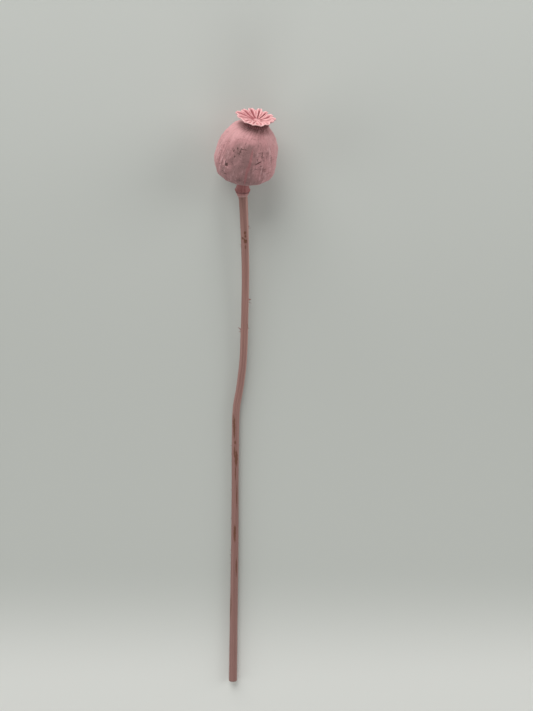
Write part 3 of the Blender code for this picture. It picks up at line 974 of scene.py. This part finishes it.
def add_bristle(bm, root, out, headwards, length, lean, width):
    """Adds one short stiff hair, a thin bent cone, to a mesh."""
    aside = headwards.cross(out)
    direction = out * cos(radians(lean)) + headwards * sin(radians(lean))
    across = direction.cross(aside).normalized()
    turns = [j * 2 * pi / BRISTLE_SIDES for j in range(BRISTLE_SIDES)]
    previous = None
    for k in range(BRISTLE_RINGS):
        t = k / (BRISTLE_RINGS - 1)
        bend = headwards * length * BRISTLE_BEND * t * t
        middle = root + direction * (BRISTLE_ROOT + length) * t + bend
        half = width * (1 - t) ** BRISTLE_TAPER + BRISTLE_TIP
        ring = []
        for turn in turns:
            place = middle + (aside * cos(turn) + across * sin(turn)) * half
            ring.append(bm.verts.new(place * MM))
        if previous:
            for j in range(BRISTLE_SIDES):
                after = (j + 1) % BRISTLE_SIDES
                bm.faces.new((previous[j], previous[after], ring[after], ring[j]))
        else:
            bm.faces.new(ring[::-1])
        previous = ring
    bm.faces.new(previous)


def make_bristles():
    """All the bristles as one piece, with their roots sunk in the stem."""
    line = stem_line()
    bm = bmesh.new()
    for at, turn, length, lean, width in bristle_list():
        i = min(len(line) - 2, int(at / STEM_STEP))
        headwards = Vector(line[i - 1, :3] - line[i + 1, :3]).normalized()
        out = Vector((cos(radians(turn)), 0, sin(radians(turn))))
        out = (out - headwards * out.dot(headwards)).normalized()
        root = Vector(line[i, :3]) + out * (line[i, 3] - BRISTLE_ROOT)
        add_bristle(bm, root, out, headwards, length, lean, width)
    bmesh.ops.recalc_face_normals(bm, faces=bm.faces)
    mesh = bpy.data.meshes.new("stem_bristles")
    bm.to_mesh(mesh)
    bm.free()
    mesh.shade_smooth()
    return linked("stem_bristles", mesh)


# Materials


def node(tree, kind, inputs=(), **settings):
    """A new shader node. Inputs are (socket, value or another node's output)."""
    made = tree.nodes.new("ShaderNode" + kind)
    for name, value in settings.items():
        setattr(made, name, value)
    for socket, value in inputs:
        if isinstance(value, bpy.types.NodeSocket):
            tree.links.new(value, made.inputs[socket])
        else:
            made.inputs[socket].default_value = value
    return made


def trait(tree, name, output="Fac"):
    """The value of a mesh's own attribute at each point."""
    return node(tree, "Attribute", attribute_name=name).outputs[output]


def stretched(tree, place, scale):
    """A place with each of its directions scaled, which draws a texture out."""
    return node(tree, "VectorMath", [(0, place), (1, scale)], operation="MULTIPLY").outputs[0]


def mix(tree, factor, a, b):
    """The colour between a and b, where factor says how much of b."""
    made = node(tree, "Mix", data_type="RGBA")
    for index, value in ((0, factor), (6, a), (7, b)):
        if isinstance(value, bpy.types.NodeSocket):
            tree.links.new(value, made.inputs[index])
        else:
            made.inputs[index].default_value = value if index == 0 else (*value, 1)
    return made.outputs[2]


def between(tree, value, low, high, top=1.0):
    """0 where value is at low, and top where it is at high."""
    inputs = [(0, value), (1, low), (2, high), (3, 0.0), (4, top)]
    return node(tree, "MapRange", inputs, interpolation_type="SMOOTHSTEP").outputs[0]


def tinted(tree, colour, *steps):
    """The colour after some steps, each as (other colour, value, low, high, top). A step turns
    it to the other colour where the value goes from low to high, by top at most."""
    for other, value, low, high, top in steps:
        colour = mix(tree, between(tree, value, low, high, top), colour, other)
    return colour


def texture(tree, place, scale, detail=3.0, roughness=0.55, distortion=0.0):
    inputs = [("Vector", place), ("Scale", scale), ("Detail", detail), ("Roughness", roughness)]
    inputs.append(("Distortion", distortion))
    return node(tree, "TexNoise", inputs).outputs[0]


def combine(tree, operation, a, b):
    return node(tree, "Math", [(0, a), (1, b)], operation=operation).outputs[0]


def painted(name, roughness, specular=0.25, sheen=0.12):
    """A material, its nodes, its shader, and the place of each point in the row frame."""
    material = bpy.data.materials.new(name)
    material.use_nodes = True
    tree = material.node_tree
    shader = tree.nodes["Principled BSDF"]
    shader.inputs["Roughness"].default_value = roughness
    shader.inputs["Specular IOR Level"].default_value = specular
    shader.inputs["Sheen Weight"].default_value = sheen
    shader.inputs["Sheen Roughness"].default_value = 0.6
    shader.inputs["Sheen Tint"].default_value = (1.0, 0.86, 0.86, 1)
    return material, tree, shader, node(tree, "TexCoord").outputs["Object"]


def finish_material(tree, shader, colour, height, distance):
    """Gives a material its colour and, from a texture of heights, its finest relief."""
    tree.links.new(colour, shader.inputs["Base Color"])
    bumps = node(tree, "Bump", [("Height", height), ("Strength", 0.6), ("Distance", distance)])
    tree.links.new(bumps.outputs[0], shader.inputs["Normal"])


# The capsule's paint, the bare wall of its chips, and its painted highlight and painted shade.
PINK = (0.62, 0.325, 0.33)
ROSE = (0.5, 0.245, 0.25)
# Mauve: painted shade on the front, base and back and in low relief, and the colour of streaks and
# specks.
MAUVE = (0.265, 0.142, 0.139)
# Pale specks, and painted highlight on the raised relief.
SPECK_AND_HIGHLIGHT = (0.66, 0.38, 0.385)
BARE = (0.045, 0.018, 0.014)
DARK_MAUVE = (0.15, 0.075, 0.072)
RED = (0.34, 0.115, 0.12)
# The colour of the painted shade under the crown and between the neck's flutes.
NECK_SHADE_COLOUR = (0.16, 0.07, 0.065)

# The crown's paint, with its painted highlight and painted shade.
CROWN_PINK = (0.57, 0.24, 0.25)
CROWN_LIGHT = (0.66, 0.31, 0.32)
# Pale papillae, and painted highlight on the lips and the margin.
CROWN_PALE_AND_HIGHLIGHT = (0.88, 0.53, 0.52)
# Painted shade in the channels and partings, and the darker dull side.
CROWN_HOLLOW_SHADE = (0.33, 0.085, 0.095)
# Painted shade under the rim.
CROWN_PAINTED_SHADE = (0.13, 0.035, 0.035)

# The stem's paint, its painted highlight and shade, its scars, and the rind and the pith of its cut
# end.
STEM_DARK = (0.205, 0.102, 0.084)
STEM_LIGHT = (0.36, 0.194, 0.166)
STEM_CLOUD = (0.3, 0.15, 0.125)
STEM_RIDGE_HIGHLIGHT = (0.42, 0.24, 0.215)
STEM_FURROW_SHADE = (0.17, 0.075, 0.062)
# Painted highlight on the right flank.
STEM_FLANK_HIGHLIGHT = (0.5, 0.285, 0.245)
STEM_LOWER = (0.19, 0.097, 0.084)
SCAR = (0.125, 0.045, 0.022)
RIND = (0.3, 0.2, 0.11)
PITH = (0.62, 0.5, 0.34)

# The receptacle's paint, with painted shade in its crease and painted highlight on its rings.
KNOB_DARK = (0.345, 0.13, 0.125)
KNOB_LIGHT = (0.465, 0.205, 0.2)
KNOB_CLOUD = (0.3, 0.11, 0.1)
KNOB_SPECK = (0.24, 0.085, 0.08)
KNOB_PALE = (0.56, 0.29, 0.28)
# Painted shade in the crease, and painted highlight on the rings.
KNOB_CREASE_SHADE = (0.13, 0.045, 0.045)
KNOB_RING_HIGHLIGHT = (0.5, 0.3, 0.3)

BRISTLE_DARK = (0.2, 0.09, 0.08)
BRISTLE_LIGHT = (0.38, 0.19, 0.18)

# The table's paint with two paler ends over spans of the row's Y in metres, the far one painted
# light.
FLOOR_DARK = (0.485, 0.5, 0.468)
FLOOR_LIGHT = (0.515, 0.53, 0.497)
FLOOR_FAR = (0.625, 0.64, 0.605)
FLOOR_NEAR = (0.71, 0.715, 0.68)
FLOOR_FAR_SPAN = (-0.17, 0.2)
FLOOR_NEAR_SPAN = (-0.275, -0.365)


def capsule_material():
    material, tree, shader, place = painted("capsule_paint", 0.88)
    grain = trait(tree, "grain", "Vector")
    streak = texture(tree, stretched(tree, grain, (9.0, 9.0, 1.3)), 1.6, 4.0, 0.6)
    cloud = texture(tree, place, 160.0, 4.0, 0.6)
    speck = texture(tree, place, 1500.0, 2.0, 0.5)
    fine = texture(tree, place, 4200.0, 2.0, 0.6)
    paint_and_shade = trait(tree, "paint_and_shade")
    rise = trait(tree, "rise")
    # The paint goes from mauve to pink: the mauve is painted shade on the front, base and back.
    paint_and_shade_level = combine(tree, "ADD", paint_and_shade, between(tree, cloud, 0.3, 0.7, 0.2))
    paint_and_shade_level = combine(tree, "SUBTRACT", paint_and_shade_level, 0.1)
    colour = tinted(
        tree,
        MAUVE,
        (ROSE, paint_and_shade_level, 0.02, 0.55, 1.0),
        (PINK, paint_and_shade_level, 0.45, 1.0, 1.0),
        (MAUVE, streak, 0.52, 0.72, 0.35),
        # Painted highlight on the wall's raised relief and painted shade in its low places.
        (SPECK_AND_HIGHLIGHT, rise, 0.55, 0.95, 0.55),
        (MAUVE, rise, 0.45, 0.1, 0.5),
    )

    # Thin strokes across and along the capsule, where painted shade darkens the paint.
    strokes = [
        texture(tree, stretched(tree, grain, scale), 1.0, 2.0, distortion=0.9)
        for scale in ((5.0, 5.0, 22.0), (22.0, 22.0, 5.0))
    ]
    strokes = between(tree, combine(tree, "MAXIMUM", *strokes), 0.6, 0.72, 0.75)
    strokes = combine(tree, "MULTIPLY", strokes, between(tree, paint_and_shade, 0.95, 0.45))
    colour = mix(tree, strokes, colour, DARK_MAUVE)

    # The marks, with their edges broken up by the specks.
    smudged = combine(tree, "MULTIPLY", trait(tree, "smudge"), between(tree, speck, 0.25, 0.55))
    ragged = combine(tree, "MULTIPLY", trait(tree, "chip"), between(tree, speck, 0.2, 0.55))
    colour = tinted(
        tree,
        colour,
        (RED, trait(tree, "rub"), 0.1, 0.8, 0.6),
        (DARK_MAUVE, smudged, 0.1, 0.9, 0.5),
        (MAUVE, speck, 0.62, 0.75, 0.4),
        (SPECK_AND_HIGHLIGHT, speck, 0.38, 0.25, 0.2),
    )
    # Painted shade under the crown and between the flutes.
    colour = mix(tree, trait(tree, "neck_painted_shade"), colour, NECK_SHADE_COLOUR)
    colour = tinted(tree, colour, (BARE, ragged, 0.25, 0.6, 0.85))
    height = combine(tree, "ADD", combine(tree, "MULTIPLY", fine, 0.5), speck)
    finish_material(tree, shader, colour, height, 0.00012)
    return material


def crown_material():
    material, tree, shader, place = painted("crown_paint", 0.88)
    cloud = texture(tree, place, 420.0, 3.0, 0.6)
    fine = texture(tree, place, 3600.0, 2.0, 0.6)
    colour = tinted(
        tree,
        CROWN_PINK,
        (CROWN_LIGHT, cloud, 0.3, 0.7, 1.0),
        # Painted highlight on the lips and margin, and painted shade in the channels.
        (CROWN_PALE_AND_HIGHLIGHT, trait(tree, "pale_and_highlight"), 0.35, 0.85, 0.8),
        (CROWN_HOLLOW_SHADE, trait(tree, "hollow_shade"), 0.25, 0.8, 0.95),
    )
    # Painted shade under the rim.
    colour = mix(tree, trait(tree, "rim_painted_shade"), colour, CROWN_PAINTED_SHADE)
    finish_material(tree, shader, colour, fine, 0.00012)
    return material


def stem_material():
    material, tree, shader, place = painted("stem_paint", 0.8)
    grain = trait(tree, "grain", "Vector")
    streak = texture(tree, stretched(tree, grain, (7.0, 7.0, 1.0)), 1.0, 5.0, 0.65)
    cloud = texture(tree, place, 90.0, 3.0, 0.6)
    fine = texture(tree, place, 3800.0, 2.0, 0.6)
    speck = texture(tree, place, 1300.0, 2.0, 0.5)
    ridge, cut = trait(tree, "ridge"), trait(tree, "cut")
    stem = tinted(
        tree,
        STEM_DARK,
        (STEM_LIGHT, streak, 0.36, 0.64, 1.0),
        (STEM_CLOUD, cloud, 0.4, 0.75, 0.5),
        # Painted highlight on the ridges and painted shade in the furrows.
        (STEM_RIDGE_HIGHLIGHT, ridge, 0.55, 0.9, 0.5),
        (STEM_FURROW_SHADE, ridge, 0.45, 0.15, 0.5),
        # Painted highlight on the right flank.
        (STEM_FLANK_HIGHLIGHT, trait(tree, "flank_highlight"), 0.0, 1.0, 0.75),
        (STEM_LOWER, trait(tree, "along"), 60.0, 250.0, 0.55),
    )
    knob = tinted(
        tree,
        KNOB_DARK,
        (KNOB_LIGHT, streak, 0.36, 0.64, 1.0),
        (KNOB_CLOUD, cloud, 0.55, 0.8, 0.5),
        (KNOB_SPECK, speck, 0.62, 0.75, 0.5),
        (KNOB_PALE, speck, 0.38, 0.25, 0.3),
    )
    ragged = combine(tree, "MULTIPLY", trait(tree, "scar"), between(tree, speck, 0.1, 0.5))
    colour = tinted(
        tree,
        mix(tree, trait(tree, "knob"), stem, knob),
        # Painted shade in the crease and painted highlight on the rings.
        (KNOB_CREASE_SHADE, trait(tree, "crease_shade"), 0.05, 0.8, 0.9),
        (KNOB_RING_HIGHLIGHT, trait(tree, "collar"), 0.3, 0.9, 0.7),
        (SCAR, ragged, 0.2, 0.55, 0.9),
        (RIND, cut, 0.15, 0.3, 1.0),
        (PITH, cut, 0.38, 0.6, 1.0),
    )
    finish_material(tree, shader, colour, fine, 0.0001)
    return material


def bristle_material():
    material, tree, shader, place = painted("bristle_paint", 0.8)
    colour = mix(tree, texture(tree, place, 300.0), BRISTLE_DARK, BRISTLE_LIGHT)
    finish_material(tree, shader, colour, texture(tree, place, 4000.0), 0.00005)
    return material


def floor_material():
    material, tree, shader, place = painted("pale_floor", 0.95, specular=0.1, sheen=0)
    along = node(tree, "SeparateXYZ", [(0, place)]).outputs["Y"]
    colour = mix(tree, texture(tree, place, 2.0, 2.0), FLOOR_DARK, FLOOR_LIGHT)
    # Painted light at the far end, beyond the head.
    far = (FLOOR_FAR, along, *FLOOR_FAR_SPAN, 1.0)
    near = (FLOOR_NEAR, along, *FLOOR_NEAR_SPAN, 1.0)
    colour = tinted(tree, colour, far, near)
    tree.links.new(colour, shader.inputs["Base Color"])
    return material


# The stage

FLOOR_HALF_SIZE = 6

# The lamps, all wide and soft, as (name, bearing, elevation, spread in degrees, strength).
LAMPS = (
    ("key", -14, 26, 48, 0.84),
    ("left", -95, 16, 36, 0.21),
    ("right", 68, 22, 36, 0.34),
    ("low", 178, 18, 40, 0.25),
)
WORLD_COLOUR = (0.98, 1.0, 0.99)
WORLD_STRENGTH = 0.26


def make_floor():
    mesh = bpy.data.meshes.new("floor")
    bm = bmesh.new()
    bmesh.ops.create_grid(bm, x_segments=1, y_segments=1, size=FLOOR_HALF_SIZE)
    bm.to_mesh(mesh)
    bm.free()
    mesh.materials.append(floor_material())
    linked("floor", mesh)


def soft_light(name, bearing, elevation, spread, strength):
    """A wide soft light from far off. The bearing is clockwise from +Y, seen from above."""
    light = bpy.data.lights.new(name, "SUN")
    light.angle = radians(spread)
    light.energy = strength * pi
    lamp = linked(name, light)
    towards = Vector((0, 1, 0))
    towards.rotate(Matrix.Rotation(radians(elevation), 3, "X"))
    towards.rotate(Matrix.Rotation(radians(-bearing), 3, "Z"))
    lamp.rotation_euler = (-towards).to_track_quat("-Z", "Y").to_euler()


def make_lights():
    for lamp in LAMPS:
        soft_light(*lamp)
    world = bpy.data.worlds.new("studio")
    world.use_nodes = True
    background = world.node_tree.nodes["Background"]
    background.inputs["Color"].default_value = (*WORLD_COLOUR, 1)
    background.inputs["Strength"].default_value = WORLD_STRENGTH
    bpy.context.scene.world = world


def make_camera():
    tilt = radians(CAMERA_TILT)
    backwards = Vector((0, sin(tilt), cos(tilt)))
    upwards = Vector((0, cos(tilt), -sin(tilt)))
    rightwards = Vector((1, 0, 0))
    view = bpy.data.cameras.new("camera")
    view.sensor_fit = "VERTICAL"
    view.angle = 2 * atan(PHOTO_HEIGHT / 2 / FOCAL_PIXELS)
    camera = linked("camera", view)
    placed = Matrix((rightwards, upwards, backwards)).transposed().to_4x4()
    placed.translation = CAMERA_TARGET + backwards * CAMERA_DISTANCE
    camera.matrix_world = placed
    bpy.context.scene.camera = camera


def dress(piece, material, node_name=None):
    """Gives a piece its material, its place on the body and the solid that it stands for."""
    piece.data.materials.append(material)
    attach(piece, "root")
    if node_name:
        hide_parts(node_name)


make_camera()
dress(make_capsule(), capsule_material(), "seed_capsule")
dress(make_crown(), crown_material(), "stigma_crown")
dress(make_stem(), stem_material(), "stem")
dress(make_bristles(), bristle_material())
make_floor()
make_lights()
bpy.context.scene.view_settings.view_transform = "Standard"
